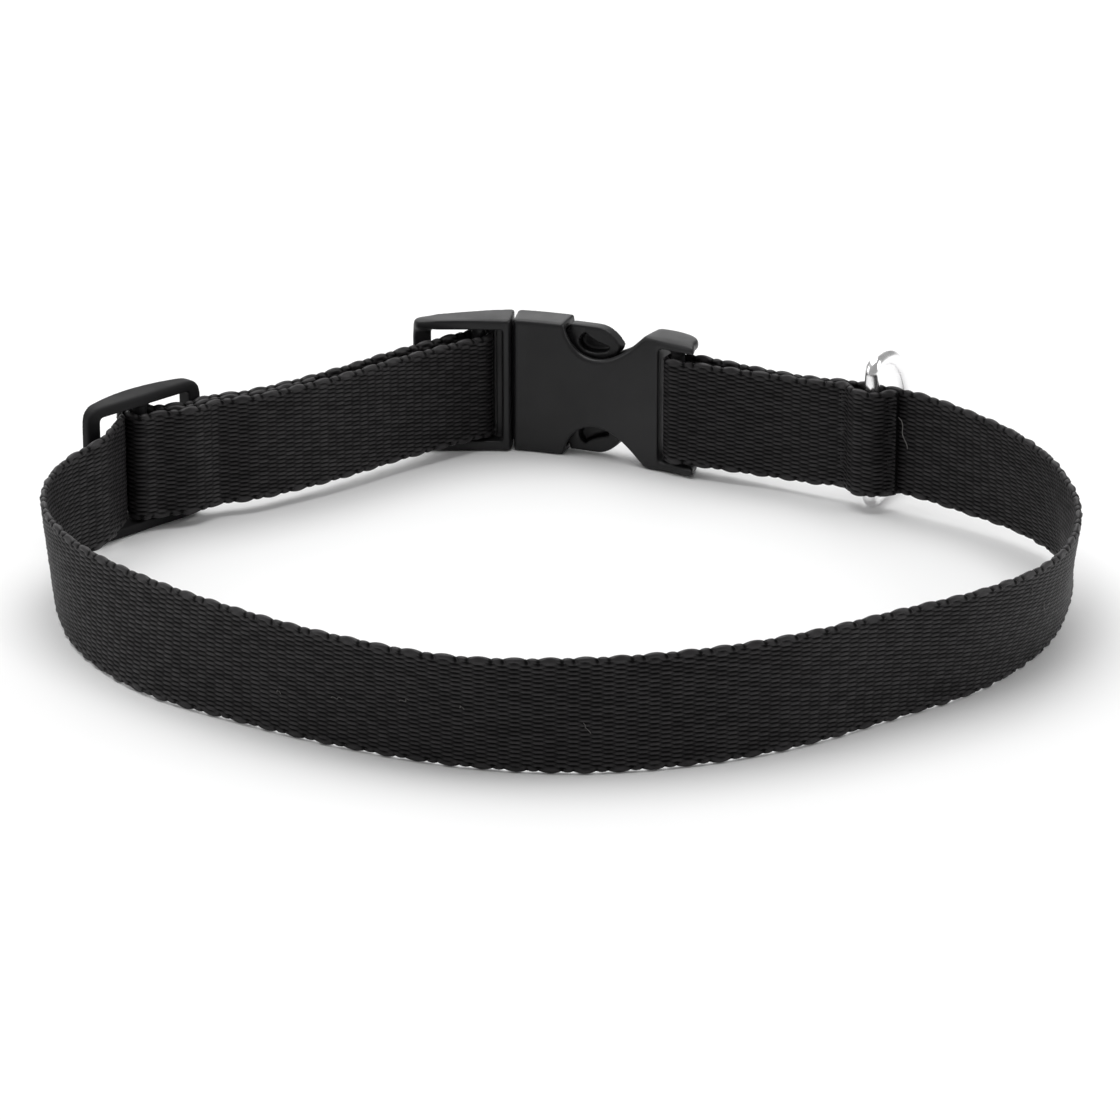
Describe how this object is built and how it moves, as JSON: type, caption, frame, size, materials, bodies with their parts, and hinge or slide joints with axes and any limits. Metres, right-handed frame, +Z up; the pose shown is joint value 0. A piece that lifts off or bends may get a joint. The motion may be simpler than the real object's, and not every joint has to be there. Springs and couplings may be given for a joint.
{
  "type": "dog collar",
  "caption": "Flat woven dog collar, fastened round, with a side release buckle, a strap slider and a D-ring for a leash.",
  "frame": {"origin": "under the middle of the collar's box, on the surface that it stands on", "axes": "+X across the loop to the D-ring's side, +Y from the loop's front to the buckle, +Z up along the strap's width"},
  "size_m": [0.22, 0.1972, 0.0357],
  "materials": {
    "webbing": "coarse ribbed weave, matte",
    "buckle_plastic": "fine moulded texture",
    "slider_plastic": "fine moulded texture",
    "ring_metal": "polished"
  },
  "bodies": {
    "collar": {"webbing": "webbing", "female_buckle": "buckle_plastic", "male_buckle": "buckle_plastic", "slider": "slider_plastic"},
    "ring": {"d_ring": "ring_metal"}
  },
  "joints": [
    {"name": "ring_swing", "type": "hinge", "parent": "collar", "child": "ring", "pos_m": [0.06899, 0.05198, 0.0179], "axis": [0, 0, 1], "range_deg": [-54, 46]}
  ]
}
